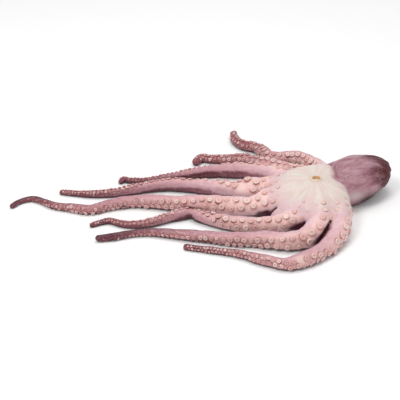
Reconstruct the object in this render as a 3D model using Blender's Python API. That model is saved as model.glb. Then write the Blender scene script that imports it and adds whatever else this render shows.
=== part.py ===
"""Whole raw octopus, laid mouth up on a flat surface with its arms swept to -X.

The animal is one solid: eight tapering arms that radiate from the mouth, the
domed crown that joins them, and the head and mantle behind it at +X. Lengths
below are millimetres. The built part is in metres, +Z up, with the origin at
the middle of its bounding box on the surface it lies on.
"""

import math

import bmesh
import bpy
import numpy as np

MM = 0.001

# The mouth, in plan, and the heights of the crown that stands round it.
MOUTH = (200.0, -54.0)
CROWN_HEIGHT = 59.0
CROWN_RADIUS = 99.0
CROWN_NOTCH = 36.0
CROWN_NOTCH_TURN = -10.0
CROWN_NOTCH_WIDTH = 50.0
MOUTH_RADIUS = 8.0
MOUTH_DEPTH = 7.0

# The arms leave the crown with their centrelines at ARM_START and sink to lie
# on the surface, each pressed flat by ARM_SAG of its radius.
ARM_START = 43.0
ARM_SAG = 0.15
ARM_SIDES = 8
ARM_STEP = 9.0
SUCKER_RISE = 0.14
SUCKERS_START = 65.0

# Head and mantle: centre, half lengths along, across and up, and the turn of
# their long axis from +X in degrees. The smaller MANTLE_BLUNT, the blunter its ends,
# and its far end is lifted by MANTLE_TILT.
MANTLE_CENTRE = (275.5, 0.9, 33.2)
MANTLE_HALF = (75.2, 49.8, 39.3)
MANTLE_TURN = 28.7
MANTLE_TAPER = -0.15
MANTLE_BLUNT = 0.94
MANTLE_TILT = 6.2
HEAD_CENTRE = (232.0, -22.0, 26.0)
HEAD_HALF = (42.0, 40.0, 27.0)

# The lobe of the crown that laps over the neck.
LOBE_CENTRE = (214.0, -15.0, 31.0)
LOBE_HALF = (31.0, 37.0, 34.0)
EYE_CENTRE = (246.0, 25.0, 25.0)
EYE_RADIUS = 11.0

# Each arm from the mouth to its tip. route is its centreline in plan, root and
# tip its radii, full the radius it never exceeds, taper how fast it thins, drop
# the length over which it sinks to the surface, and roll the turn in degrees of
# its sucker side about the arm at shares of its length: 0 faces up, 90 faces
# the left of someone walking to the tip.
ARMS = {
    "arm_1": {
        "route": [
            (200, -54), (216, -18), (225, 24), (218, 71), (198, 108), (174, 123), (151, 120),
            (131, 127), (120, 152), (106, 173), (84, 183), (68, 208), (65, 238),
        ],
        "root": 24.0, "tip": 8.0, "taper": 1.2, "drop": 150.0,
        "roll": [(0, 0), (0.3, 60), (0.55, 60), (0.75, 30), (1, 30)],
    },
    "arm_2": {
        "route": [
            (200, -54), (200, -12), (190, 34), (172, 62), (148, 82), (126, 96), (104, 111),
            (84, 123), (51, 125), (20, 127), (-1, 132), (-11, 117),
        ],
        "root": 22.0, "tip": 7.8, "taper": 1.2, "drop": 140.0,
        "roll": [(0, 0), (0.4, 35), (1, 35)],
    },
    "arm_3": {
        "route": [
            (200, -54), (183, -20), (163, 15), (140, 43), (109, 64), (78, 71), (48, 73),
            (20, 72), (-9, 68), (-40, 60), (-74, 50), (-105, 43), (-133, 46), (-146, 51), (-150, 44),
        ],
        "root": 25.0, "tip": 5.6, "taper": 1.32, "drop": 130.0,
        "roll": [(0, 0), (0.35, -40), (0.6, -60), (1, -40)],
    },
    "arm_4": {
        "route": [
            (200, -54), (171, -34), (141, -12), (109, -5), (78, -7), (48, -1), (15, 7),
            (-21, 15), (-58, 21), (-94, 15), (-130, 5), (-163, -4), (-203, -6), (-240, 0),
            (-255, 4),
        ],
        "root": 22.0, "tip": 5.0, "taper": 1.0, "drop": 130.0,
        "roll": [(0, 0), (0.25, 40), (0.42, -40), (0.7, -40), (1, -15)],
    },
    "arm_5": {
        "route": [
            (200, -54), (176, -54), (150, -58), (121, -65), (88, -70), (53, -65), (15, -55),
            (-24, -52), (-63, -46), (-99, -40), (-137, -41), (-167, -51), (-197, -65),
            (-230, -56), (-261, -48), (-285, -31), (-306, -21), (-326, -30), (-338, -46),
        ],
        "root": 23.0, "tip": 4.6, "taper": 1.12, "drop": 130.0,
        "roll": [(0, 0), (0.2, 40), (0.4, 65), (0.6, 95), (0.8, 75), (1, 120)],
    },
    "arm_6": {
        "route": [
            (200, -54), (197, -80), (185, -104), (160, -121), (134, -127), (109, -126),
            (84, -124), (57, -119), (28, -107), (2, -94), (-21, -79), (-43, -85), (-67, -97),
            (-93, -109), (-119, -113), (-141, -108), (-160, -98), (-176, -103), (-190, -111),
        ],
        "root": 21.5, "tip": 5.0, "taper": 1.15, "drop": 140.0,
        "roll": [(0, 0), (0.25, 50), (0.45, 65), (0.52, 0), (0.6, -55), (0.75, 20), (1, 20)],
    },
    "arm_7": {
        "route": [
            (200, -54), (207, -78), (207, -108), (198, -146), (176, -170), (141, -178),
            (106, -171), (72, -168), (39, -164), (5, -156), (-28, -150), (-63, -142),
            (-93, -138), (-122, -142), (-147, -151), (-174, -156),
        ],
        "root": 24.4, "tip": 6.4, "taper": 1.42, "drop": 140.0,
        "roll": [(0, 0), (0.25, 60), (0.4, 85), (0.8, 85), (1, 100)],
    },
    "arm_8": {
        "route": [
            (200, -54), (222, -61), (235, -82), (237, -112), (232, -150), (213, -185),
            (188, -213), (161, -232), (134, -240), (110, -230), (87, -219), (63, -206),
            (33, -197), (5, -190), (-26, -182),
        ],
        "root": 24.8, "tip": 5.4, "taper": 1.38, "drop": 160.0,
        "roll": [(0, 0), (0.2, 70), (0.45, 90), (0.6, 60), (1, 60)],
    },
}
FULL_RADIUS = 21.5


def curve(points, parts=12):
    """Centripetal Catmull-Rom curve through points, as a dense polyline."""
    p = np.array(points, float)
    p = np.vstack([2 * p[0] - p[1], p, 2 * p[-1] - p[-2]])
    knots = np.concatenate([[0.0], np.cumsum(np.sqrt(np.linalg.norm(np.diff(p, axis=0), axis=1)))])
    slope = np.diff(p, axis=0) / np.diff(knots)[:, None]
    wide = (p[2:] - p[:-2]) / (knots[2:] - knots[:-2])[:, None]
    tangent = slope[:-1] + slope[1:] - wide
    a, b = p[1:-2, None], p[2:-1, None]
    span = np.diff(knots[1:-1])[:, None, None]
    u = np.linspace(0.0, 1.0, parts, endpoint=False)[None, :, None]
    dense = (
        a * (1 + 2 * u) * (1 - u) ** 2
        + b * u * u * (3 - 2 * u)
        + tangent[:-1, None] * span * u * (1 - u) ** 2
        - tangent[1:, None] * span * u * u * (1 - u)
    )
    return np.vstack([dense.reshape(-1, p.shape[1]), p[-2]])


def lengths(line):
    """Distance along a polyline at each of its points."""
    return np.concatenate([[0.0], np.cumsum(np.linalg.norm(np.diff(line, axis=0), axis=1))])


def arm_line(arm, step=ARM_STEP):
    """Centreline, radius, distance and roll of an arm at even steps of its length."""
    plan = curve(arm["route"])
    along = lengths(plan)
    count = int(round(along[-1] / step)) + 1
    s = np.linspace(0.0, along[-1], count)
    x, y = np.interp(s, along, plan[:, 0]), np.interp(s, along, plan[:, 1])
    share = s / s[-1]
    radius = arm["tip"] + (arm["root"] - arm["tip"]) * (1 - share) ** arm["taper"]
    radius = np.minimum(radius, FULL_RADIUS)
    rest = (1 - ARM_SAG) * radius
    fall = np.clip(s / arm["drop"], 0.0, 1.0)
    z = rest + (ARM_START - rest[0]) * (1 - fall) ** 2 * (1 + 2 * fall)
    shares, turns = zip(*arm["roll"])
    return np.stack([x, y, z], 1), radius, s, np.radians(np.interp(share, shares, turns))


def solid(name, verts, faces):
    """Mesh object from vertices in millimetres and faces."""
    mesh = bpy.data.meshes.new(name)
    mesh.from_pydata((np.asarray(verts, float) * MM).tolist(), [], faces)
    shape = bmesh.new()
    shape.from_mesh(mesh)
    bmesh.ops.triangulate(shape, faces=shape.faces)
    bmesh.ops.recalc_face_normals(shape, faces=shape.faces)
    shape.to_mesh(mesh)
    shape.free()
    mesh.validate()
    mesh.shade_smooth()
    mesh.set_sharp_from_angle(angle=math.radians(50))
    piece = bpy.data.objects.new(name, mesh)
    bpy.context.collection.objects.link(piece)
    return piece


def skin(rings, start, end):
    """Faces that join equal rings of vertices and close them on two end points."""
    rings = np.asarray(rings, float)
    count, sides = rings.shape[:2]
    verts = np.vstack([rings.reshape(-1, 3), [start, end]])
    first, last = count * sides, count * sides + 1
    faces = []
    for j in range(sides):
        k = (j + 1) % sides
        faces.append((first, k, j))
        for i in range(count - 1):
            faces.append((i * sides + j, i * sides + k, (i + 1) * sides + k, (i + 1) * sides + j))
        faces.append((last, (count - 1) * sides + j, (count - 1) * sides + k))
    return verts, faces


def arm_solid(name, arm):
    """Swept arm whose two oral corners rise in turn, as two alternating rows of suckers."""
    line, radius, s, roll = arm_line(arm)
    ahead = np.gradient(line, axis=0)
    ahead /= np.linalg.norm(ahead, axis=1)[:, None]
    up = np.array([0.0, 0.0, 1.0]) - ahead * ahead[:, 2:3]
    up /= np.linalg.norm(up, axis=1)[:, None]
    left = np.cross(up, ahead)
    ends = np.sqrt(1 - (1 - np.clip(s / 12.0, 0.0, 1.0)) ** 2) * 0.6 + 0.4
    ends[-1] = 0.7
    rings = []
    for i in range(len(line)):
        ring = []
        for j in range(ARM_SIDES):
            angle = math.tau * (j + 0.5) / ARM_SIDES
            reach = radius[i] * ends[i]
            if j in (0, ARM_SIDES - 1) and s[i] > SUCKERS_START and (i + j) % 2:
                reach *= 1 + SUCKER_RISE
            turn = angle + roll[i]
            ring.append(line[i] + reach * (math.cos(turn) * up[i] + math.sin(turn) * left[i]))
        rings.append(ring)
    end = line[-1] + ahead[-1] * radius[-1] * 0.8
    verts, faces = skin(rings, line[0] - ahead[0] * 1.0, end)
    return solid(name, verts, faces)


def crown_solid():
    """Hill of the crown round the mouth, notched where the head joins it."""
    turns, rows = 40, 8
    rings = []
    for i in range(rows):
        share = 0.12 + 0.88 * (i / (rows - 1)) ** 0.9
        ring = []
        for j in range(turns):
            turn = math.tau * j / turns
            away = (math.degrees(turn) - CROWN_NOTCH_TURN + 180) % 360 - 180
            reach = CROWN_RADIUS - CROWN_NOTCH * math.exp(-(away / CROWN_NOTCH_WIDTH) ** 2)
            height = CROWN_HEIGHT * (1 - share ** 2.6) ** 0.6 - 3.0
            ring.append((
                MOUTH[0] + reach * share * math.cos(turn),
                MOUTH[1] + reach * share * math.sin(turn),
                height,
            ))
        rings.append(ring)
    verts, faces = skin(rings, (MOUTH[0], MOUTH[1], CROWN_HEIGHT - 3.0), (MOUTH[0], MOUTH[1], -3.0))
    return solid("octopus", verts, faces)


def egg_solid(name, centre, half, turn, taper=0.0, blunt=1.0, tilt=0.0, around=24, along=14):
    """Egg with its long axis turned from +X, thinner towards -X by taper and blunter below 1.

    tilt lifts its far end, and drops its near one, by that many millimetres.
    """
    rings = []
    for i in range(1, along):
        polar = math.pi * i / along
        ring = []
        for j in range(around):
            angle = math.tau * j / around
            x = -math.cos(polar)
            width = math.sin(polar) ** blunt * (1 + taper * x)
            ring.append(place(centre, turn, (
                half[0] * x,
                half[1] * width * math.cos(angle),
                half[2] * width * math.sin(angle) + tilt * x,
            )))
        rings.append(ring)
    start = place(centre, turn, (-half[0], 0.0, -tilt))
    end = place(centre, turn, (half[0], 0.0, tilt))
    verts, faces = skin(rings, start, end)
    return solid(name, verts, faces)


def place(centre, turn, point):
    """Point turned about +Z by turn degrees and moved to centre."""
    c, s = math.cos(math.radians(turn)), math.sin(math.radians(turn))
    x, y, z = point
    return (centre[0] + c * x - s * y, centre[1] + s * x + c * y, centre[2] + z)


def box_solid(name, low, high):
    """Box between two corners."""
    verts = [(x, y, z) for x in (low[0], high[0]) for y in (low[1], high[1]) for z in (low[2], high[2])]
    faces = [(0, 1, 3, 2), (4, 6, 7, 5), (0, 4, 5, 1), (2, 3, 7, 6), (0, 2, 6, 4), (1, 5, 7, 3)]
    return solid(name, verts, faces)


def combine(target, tool, how):
    """Exact Boolean of tool on target. The tool stays as a hidden cutter."""
    step = target.modifiers.new(tool.name, "BOOLEAN")
    step.operation = how
    step.solver = "EXACT"
    step.object = tool
    tool.hide_render = True
    tool.display_type = "WIRE"


def skin_material():
    """Moist pink skin."""
    material = bpy.data.materials.new("octopus_skin")
    material.use_nodes = True
    shader = material.node_tree.nodes["Principled BSDF"]
    shader.inputs["Base Color"].default_value = (0.62, 0.42, 0.43, 1.0)
    shader.inputs["Roughness"].default_value = 0.35
    return material


for old in list(bpy.data.objects):
    bpy.data.objects.remove(old, do_unlink=True)

octopus = crown_solid()
octopus.data.materials.append(skin_material())
combine(octopus, egg_solid("head", HEAD_CENTRE, HEAD_HALF, MANTLE_TURN, around=20, along=10), "UNION")
combine(octopus, egg_solid("eye", EYE_CENTRE, (EYE_RADIUS,) * 3, MANTLE_TURN, around=12, along=8), "UNION")
mantle = egg_solid(
    "mantle", MANTLE_CENTRE, MANTLE_HALF, MANTLE_TURN, MANTLE_TAPER, MANTLE_BLUNT, MANTLE_TILT,
)
combine(octopus, mantle, "UNION")
combine(octopus, egg_solid("lobe", LOBE_CENTRE, LOBE_HALF, 0.0, blunt=0.75, around=20, along=10), "UNION")
for arm_name, arm_data in ARMS.items():
    combine(octopus, arm_solid(arm_name, arm_data), "UNION")
mouth_top = ARM_START + FULL_RADIUS
mouth = egg_solid(
    "mouth_hollow", (MOUTH[0], MOUTH[1], mouth_top), (MOUTH_RADIUS, MOUTH_RADIUS, MOUTH_DEPTH), 0.0,
    around=12, along=8,
)
combine(octopus, mouth, "DIFFERENCE")
combine(octopus, box_solid("surface_below", (-500, -500, -60), (500, 500, 0)), "DIFFERENCE")
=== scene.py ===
"""Looks of a whole raw octopus that lies mouth up with its arms swept to -X.

The body is one surface worked out from a distance field, and the suckers are
turned cups carried along the arms. Lengths in this script are millimetres
until a mesh is made. Nothing here moves.
"""

import math

import bpy
import numpy as np
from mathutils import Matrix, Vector


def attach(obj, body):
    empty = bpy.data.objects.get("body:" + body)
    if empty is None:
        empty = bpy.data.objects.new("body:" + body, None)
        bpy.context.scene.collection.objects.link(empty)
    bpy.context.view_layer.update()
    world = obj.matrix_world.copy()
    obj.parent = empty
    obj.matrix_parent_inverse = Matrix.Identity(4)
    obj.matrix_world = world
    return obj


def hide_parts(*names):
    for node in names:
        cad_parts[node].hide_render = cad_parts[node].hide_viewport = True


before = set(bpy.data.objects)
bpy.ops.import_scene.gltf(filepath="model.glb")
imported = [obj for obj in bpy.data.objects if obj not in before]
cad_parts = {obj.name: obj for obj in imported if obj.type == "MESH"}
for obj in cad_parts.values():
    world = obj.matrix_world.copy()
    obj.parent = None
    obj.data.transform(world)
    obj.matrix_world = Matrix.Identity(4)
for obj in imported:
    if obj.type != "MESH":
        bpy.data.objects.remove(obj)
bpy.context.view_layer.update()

MM = 0.001

# The grid of the body's field: its spacing, how far from an arm the arm's field is
# worked out, how many points are compared at a time, to spare memory, and the boxes
# round the animal and round crown, head and mantle.
CELL = 2.15
REACH = 20.0
BATCH = 6000
BODY_BOX = ((-356.0, -266.0, -8.0), (358.0, 262.0, 92.0))
HEAD_END_BOX = ((70.0, -170.0, -8.0), (358.0, 120.0, 92.0))

# Crown, mouth, mantle, head and eye, as in the part's source. Turns are degrees.
MOUTH = np.array([200.0, -54.0])
CROWN_HEIGHT = 59.0
CROWN_RADIUS = 99.0
CROWN_NOTCH = 36.0
CROWN_NOTCH_TURN = -10.0
CROWN_NOTCH_WIDTH = 50.0
MANTLE_CENTRE = (275.5, 0.9, 33.2)
MANTLE_HALF = (75.2, 49.8, 39.3)
MANTLE_TURN = 28.7
MANTLE_TILT = 6.2
MANTLE_SWELL = -0.15
HEAD_CENTRE = (232.0, -22.0, 26.0)
HEAD_HALF = (42.0, 40.0, 27.0)
LOBE_CENTRE = (214.0, -15.0, 31.0)
LOBE_HALF = (31.0, 37.0, 34.0)
EYE_CENTRE = (246.0, 25.0, 25.0)
EYE_RADIUS = 11.0

# How blunt the forms are, as powers: 2 is round, and more is blunter. The crown's
# hill starts HILL_FOOT below the floor, and HILL_SCALE makes its powers millimetres.
MANTLE_POWER = 2.12
LOBE_POWER = 2.7
HILL_POWER = 2.9
HILL_RISE_POWER = 1 / 0.6
HILL_FOOT = 3.0
HILL_SCALE = 42.0

# Widths over which neighbouring forms are rounded into one another: an arm's by
# WEB_JOIN more near the mouth, which is gone at the end of WEB_REACH. The mantle is
# cut back to LAP outside the lobe.
LOBE_JOIN = 7.0
HEAD_JOIN = 10.0
EYELID_JOIN = 6.0
BACK_JOIN = 2.0
ARM_JOIN = 1.6
WEB_JOIN = 17.0
WEB_REACH = (46.0, 104.0)
CLEFT_JOIN = 3.0
PIT_JOIN = 6.0
LAP = 3.4

# The mouth's pit, the box round it, and how far below the crown's top lips and beak start.
PIT_RADIUS = 10.8
PIT_FLATNESS = 1.5
PIT_BOX = ((178.0, -76.0, 36.0), (222.0, -32.0, 92.0))
LIPS_DEPTH = 5.0
BEAK_DEPTH = 8.0

# An arm's line starts at ARM_START and sinks until it lies on the floor, pressed
# flat by ARM_SAG of its radius, which is never more than FULL_RADIUS. Its section
# is flattened on the sucker side, by a share and over a width in radians, and
# fuller beside it, by a share, at a turn and over a width. The radius is a little
# uneven, by shares in waves of these lengths.
ARM_START = 43.0
ARM_SAG = 0.15
FULL_RADIUS = 21.5
ARM_STEP = 5.0
ORAL_FLAT = (0.10, 0.75)
FLANK_FULL = (0.03, 1.25, 0.4)
UNEVEN = ((0.028, 71.0), (0.026, 43.0), (0.022, 24.0))

# Suckers begin and are full grown at these distances along an arm. The gap to
# the next one and their size are shares of the arm's radius, each drawn between
# two multiples of it, and the two rows lean this many degrees, with a drawn error,
# from the middle of the oral side.
SUCKERS_START = 56.0
GAPS_GROWN = 105.0
SIZES_GROWN = 110.0
SUCKER_GAP = 0.44
GAP_DRAW = (0.78, 1.22)
SUCKER_SIZE = 0.35
SIZE_DRAW = (0.70, 1.10)
ROW_LEAN = 26.0
LEAN_ERROR = 5.0

# A sucker's rings from foot to cup: radius and height over its size, and place on
# the way from 0 to 1. Its hole lies CUP_HOLE above its seat and its foot CUP_FOOT below.
CUP = ((1.12, -0.34, 0.0), (0.90, 0.18, 0.34), (1.0, 0.44, 0.56), (0.66, 0.54, 0.74))
CUP_SIDES = 9
CUP_HOLE = 0.22
CUP_FOOT = 0.42

# Relief of the skin. SKIN_WAVES are lengths and heights of its unevenness, and the
# bars' and mounds' heights are shares of the arm's and the sucker's radius. Pleats
# run out from the mouth and ridges along the mantle, so many of them round it.
SKIN_WAVES = ((34.0, 0.8), (19.0, 0.5), (11.0, 0.28))
BAR_HEIGHT = 0.016
MOUND_HEIGHT = 0.15
PLEATS = (17, 29)
PLEAT_HEIGHT = 0.42
RIDGES = (9, 16)
RIDGE_HEIGHT = 0.55

# Distances from the mouth between which the arms' own skin, the suckers' mounds, their
# full height and the pleats come in, and pleats and ivory go out. The ivory reaches
# further by a share, at a bearing and over a width in degrees.
ARM_SKIN_IN = (50.0, 110.0)
MOUNDS_IN = (40.0, 110.0)
CUPS_IN = (60.0, 120.0)
PLEATS_IN = (6.0, 14.0)
PLEATS_OUT = (22.0, 70.0)
IVORY_OUT = (38.0, 112.0)
IVORY_STRETCH = (0.42, 12.0, 62.0)
CUP_IVORY_OUT = (55.0, 125.0)

# Painted highlight on the mantle's near side: middle and half width along +X and +Z.
PAINTED_GLOSS_X = (268.0, 17.0)
PAINTED_GLOSS_Z = (30.0, 9.0)
PAINTED_GLOSS_BACK = -10.0

# How far the skin's normals feel for other skin, for the painted shade, and what each distance weighs.
FEELERS = ((3.0, 0.2), (6.0, 0.3), (12.0, 0.3), (20.0, 0.2))

# Lips and beak as profiles of radius and height. The eyeball's centre lies
# EYEBALL_OUT outside its lid's, and its pupil is a long oval.
LIPS = (
    (10.8, -2.6), (10.8, 1.4), (9.6, 3.6), (8.0, 4.7),
    (6.8, 4.2), (5.6, 2.2), (4.4, 0.2), (2.6, -0.8),
)
BEAK = ((1.4, 0.0), (1.4, 1.2), (1.2, 2.2), (0.8, 3.0), (0.3, 3.4))
EYEBALL_RADIUS = 8.8
EYEBALL_OUT = 3.2
PUPIL_HALF = (4.6, 1.5)

# Each arm from the mouth to its tip. route is its centreline in plan, root and
# tip its radii, taper how fast it thins, drop the length over which it sinks, and
# roll the turn in degrees of its sucker side about the arm at shares of its
# length: 0 faces up, 90 faces the left of someone walking to the tip.
ARMS = {
    "arm_1": {
        "route": [
            (200, -54), (216, -18), (225, 24), (218, 71), (198, 108), (174, 123), (151, 120),
            (131, 127), (120, 152), (106, 173), (84, 183), (68, 208), (65, 238),
        ],
        "root": 24.0, "tip": 8.0, "taper": 1.2, "drop": 150.0,
        "roll": [(0, 0), (0.3, 60), (0.55, 60), (0.75, 30), (1, 30)],
    },
    "arm_2": {
        "route": [
            (200, -54), (200, -12), (190, 34), (172, 62), (148, 82), (126, 96), (104, 111),
            (84, 123), (51, 125), (20, 127), (-1, 132), (-11, 117),
        ],
        "root": 22.0, "tip": 7.8, "taper": 1.2, "drop": 140.0,
        "roll": [(0, 0), (0.4, 35), (1, 35)],
    },
    "arm_3": {
        "route": [
            (200, -54), (183, -20), (163, 15), (140, 43), (109, 64), (78, 71), (48, 73),
            (20, 72), (-9, 68), (-40, 60), (-74, 50), (-105, 43), (-133, 46), (-146, 51), (-150, 44),
        ],
        "root": 25.0, "tip": 5.6, "taper": 1.32, "drop": 130.0,
        "roll": [(0, 0), (0.35, -40), (0.6, -60), (1, -40)],
    },
    "arm_4": {
        "route": [
            (200, -54), (171, -34), (141, -12), (109, -5), (78, -7), (48, -1), (15, 7),
            (-21, 15), (-58, 21), (-94, 15), (-130, 5), (-163, -4), (-203, -6), (-240, 0),
            (-255, 4),
        ],
        "root": 22.0, "tip": 5.0, "taper": 1.0, "drop": 130.0,
        "roll": [(0, 0), (0.25, 40), (0.42, -40), (0.62, -35), (0.8, 10), (1, 20)],
    },
    "arm_5": {
        "route": [
            (200, -54), (176, -54), (150, -58), (121, -65), (88, -70), (53, -65), (15, -55),
            (-24, -52), (-63, -46), (-99, -40), (-137, -41), (-167, -51), (-197, -65),
            (-230, -56), (-261, -48), (-285, -31), (-306, -21), (-326, -30), (-338, -46),
        ],
        "root": 23.0, "tip": 4.6, "taper": 1.12, "drop": 130.0,
        "roll": [(0, 0), (0.2, 40), (0.4, 65), (0.6, 95), (0.8, 75), (0.88, 130), (1, 160)],
    },
    "arm_6": {
        "route": [
            (200, -54), (197, -80), (185, -104), (160, -121), (134, -127), (109, -126),
            (84, -124), (57, -119), (28, -107), (2, -94), (-21, -79), (-43, -85), (-67, -97),
            (-93, -109), (-119, -113), (-141, -108), (-160, -98), (-176, -103), (-190, -111),
        ],
        "root": 21.5, "tip": 5.0, "taper": 1.15, "drop": 140.0,
        "roll": [(0, 0), (0.25, 50), (0.45, 65), (0.52, 0), (0.6, -55), (0.75, 20), (1, 20)],
    },
    "arm_7": {
        "route": [
            (200, -54), (207, -78), (207, -108), (198, -146), (176, -170), (141, -178),
            (106, -171), (72, -168), (39, -164), (5, -156), (-28, -150), (-63, -142),
            (-93, -138), (-122, -142), (-147, -151), (-174, -156),
        ],
        "root": 24.4, "tip": 6.4, "taper": 1.42, "drop": 140.0,
        "roll": [(0, 0), (0.25, 60), (0.4, 85), (0.6, 100), (0.8, 120), (1, 150)],
    },
    "arm_8": {
        "route": [
            (200, -54), (222, -61), (235, -82), (237, -112), (232, -150), (213, -185),
            (188, -213), (161, -232), (134, -240), (110, -230), (87, -219), (63, -206),
            (33, -197), (5, -190), (-26, -182),
        ],
        "root": 24.8, "tip": 5.4, "taper": 1.38, "drop": 160.0,
        "roll": [(0, 0), (0.2, 70), (0.45, 90), (0.6, 60), (1, 60)],
    },
}

# Where an arm is fuller or thinner: distance along it, share of its radius, length.
SWELLS = {
    "arm_1": [(255, 0.12, 22), (330, 0.10, 40)],
    "arm_2": [(70, 0.08, 40)],
    "arm_3": [(85, 0.08, 40), (222, 0.10, 42)],
    "arm_4": [(80, 0.10, 35), (126, 0.20, 16), (158, -0.08, 14)],
    "arm_5": [(75, 0.16, 35), (122, -0.10, 14)],
    "arm_6": [(80, 0.12, 28), (136, -0.15, 24), (272, -0.26, 9), (294, 0.10, 12)],
    "arm_7": [(80, 0.14, 42), (205, -0.04, 40), (285, -0.06, 40), (408, -0.18, 26)],
    "arm_8": [(80, 0.06, 40), (232, 0.10, 16), (262, -0.08, 16), (352, -0.14, 26)],
}

# Pale places free of suckers, and deep folds where shade is painted darker: place and radius.
PALE_SPOTS = [(69, -22, 26, 11), (160, -246, 20, 13)]
SHADED_FOLDS = [
    (-14, -92, 10, 9), (107, 166, 12, 9), (176, 88, 20, 12), (38, 128, 14, 8), (97, -34, 22, 9),
    (166, -142, 17, 8), (153, -143, 14, 9), (113, -88, 14, 8), (99, -86, 12, 9),
]

# How wine dark an arm's tip is, and on arms that stay pale further out, the share
# that their length counts for in the colours until it nears the tip.
TIP_SHADE = {"arm_4": 0.25, "arm_6": 0.8, "arm_7": 1.0, "arm_8": 0.8}
PALE_REACH = {
    "arm_1": 0.86, "arm_3": 0.80, "arm_4": 0.74, "arm_5": 0.90, "arm_6": 0.82,
    "arm_7": 0.90, "arm_8": 0.80,
}

# Clefts between the roots of neighbouring arms: place in plan, lowest point and
# half width along each.
CLEFTS = [
    [
        (219, -141, 31, 0.5), (213, -151, 25, 0.9), (207, -163, 19, 1.4), (198, -178, 12, 2.1),
        (184, -195, 2, 3.6),
    ],
    [(176, -140, 22, 1.2), (165, -143, 10, 3.4), (150, -146, -6, 5.4), (134, -149, -6, 4.4)],
    [(130, -95, 24, 1.0), (118, -94, 10, 3.0), (102, -92, 2, 4.6), (84, -92, 0, 3.0)],
]

# How fine the crown's rays are, over the mouth's unit circle.
RAY_SCALE = 5.5

# Moist flesh: light scatters a few millimetres inside it, under a thin wet coat.
MOIST = {
    "IOR": 1.34,
    "Specular IOR Level": 0.4,
    "Subsurface Weight": 0.18,
    "Subsurface Radius": (1.0, 0.45, 0.35),
    "Subsurface Scale": 0.004,
    "Coat Weight": 0.30,
    "Coat Roughness": 0.14,
    "Coat IOR": 1.34,
}


# ---------------------------------------------------------------- small tools

def smooth(low, high, x):
    """Smoothstep: 0 below low, 1 above high, and 3t^2 - 2t^3 between."""
    t = np.clip((x - low) / (high - low), 0.0, 1.0)
    return t * t * (3.0 - 2.0 * t)


def bell(x, width):
    """Bell curve: one at zero, and one over e at width."""
    return np.exp(-(x / width) ** 2)


def smooth_min(a, b, k):
    """Lower of two fields, less a quarter of k times h^2, where h falls from 1 to 0 as they part by k."""
    h = np.maximum(k - np.abs(a - b), 0.0) / k
    return np.minimum(a, b) - h * h * k * 0.25


def unit(v):
    """Vectors divided by their lengths."""
    return v / np.maximum(np.linalg.norm(v, axis=-1, keepdims=True), 1e-9)


def curve(points, parts=12):
    """Centripetal Catmull-Rom curve through points, as a dense polyline.

    Its knots are as far apart as the square roots of the distances, and between
    two points it is the cubic with the tangents that three knots in a row give.
    """
    p = np.array(points, float)
    p = np.vstack([2 * p[0] - p[1], p, 2 * p[-1] - p[-2]])
    knots = np.concatenate([[0.0], np.cumsum(np.sqrt(np.linalg.norm(np.diff(p, axis=0), axis=1)))])
    slope = np.diff(p, axis=0) / np.diff(knots)[:, None]
    wide = (p[2:] - p[:-2]) / (knots[2:] - knots[:-2])[:, None]
    tangent = slope[:-1] + slope[1:] - wide
    a, b = p[1:-2, None], p[2:-1, None]
    span = np.diff(knots[1:-1])[:, None, None]
    u = np.linspace(0.0, 1.0, parts, endpoint=False)[None, :, None]
    dense = (
        a * (1 + 2 * u) * (1 - u) ** 2
        + b * u * u * (3 - 2 * u)
        + tangent[:-1, None] * span * u * (1 - u) ** 2
        - tangent[1:, None] * span * u * u * (1 - u)
    )
    return np.vstack([dense.reshape(-1, p.shape[1]), p[-2]])


def lengths(line):
    """Distance along a polyline at each of its points: the sum of the steps before it."""
    return np.concatenate([[0.0], np.cumsum(np.linalg.norm(np.diff(line, axis=0), axis=1))])


def arm_frame(arm, step):
    """Centreline, radius, distance, and oral and side directions at even steps of an arm.

    The radius falls from root to tip as the rest of the length to the power of
    taper, the height eases down as a cubic over drop, and the oral direction is
    up turned about the line by roll.
    """
    plan = curve(arm["route"])
    along = lengths(plan)
    s = np.linspace(0.0, along[-1], int(round(along[-1] / step)) + 1)
    x, y = np.interp(s, along, plan[:, 0]), np.interp(s, along, plan[:, 1])
    share = s / s[-1]
    radius = arm["tip"] + (arm["root"] - arm["tip"]) * (1 - share) ** arm["taper"]
    radius = np.minimum(radius, FULL_RADIUS)
    rest = (1 - ARM_SAG) * radius
    fall = np.clip(s / arm["drop"], 0.0, 1.0)
    z = rest + (ARM_START - rest[0]) * (1 - fall) ** 2 * (1 + 2 * fall)
    line = np.stack([x, y, z], 1)
    shares, turns = zip(*arm["roll"])
    roll = np.radians(np.interp(share, shares, turns))[:, None]
    ahead = unit(np.gradient(line, axis=0))
    up = unit(np.array([0.0, 0.0, 1.0]) - ahead * ahead[:, 2:3])
    left = np.cross(up, ahead)
    oral = np.cos(roll) * up + np.sin(roll) * left
    return {
        "line": line, "radius": radius, "s": s, "ahead": ahead,
        "oral": oral, "side": np.cross(oral, ahead),
    }


# ---------------------------------------------------------------- body field

def section(turn):
    """Reach of an arm's skin over its radius: one, less a bell at the oral side, plus one beside it."""
    flat, flat_width = ORAL_FLAT
    full, full_turn, full_width = FLANK_FULL
    return 1.0 - flat * bell(turn, flat_width) + full * bell(np.abs(turn) - full_turn, full_width)


def arm_distance(arm, i, points):
    """Distance from points to the stretch i of an arm's line, less the reach of its skin there."""
    a, b = arm["line"][i], arm["line"][i + 1]
    run = b - a
    t = np.clip(((points - a) @ run) / (run @ run), 0.0, 1.0)
    out = points - (a + t[..., None] * run)
    gap = np.sqrt((out ** 2).sum(-1)) + 1e-6
    turn = np.arctan2(out @ arm["side"][i], out @ arm["oral"][i])
    radius = arm["skin"][i] * (1 - t) + arm["skin"][i + 1] * t
    return gap - radius * section(turn)


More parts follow.
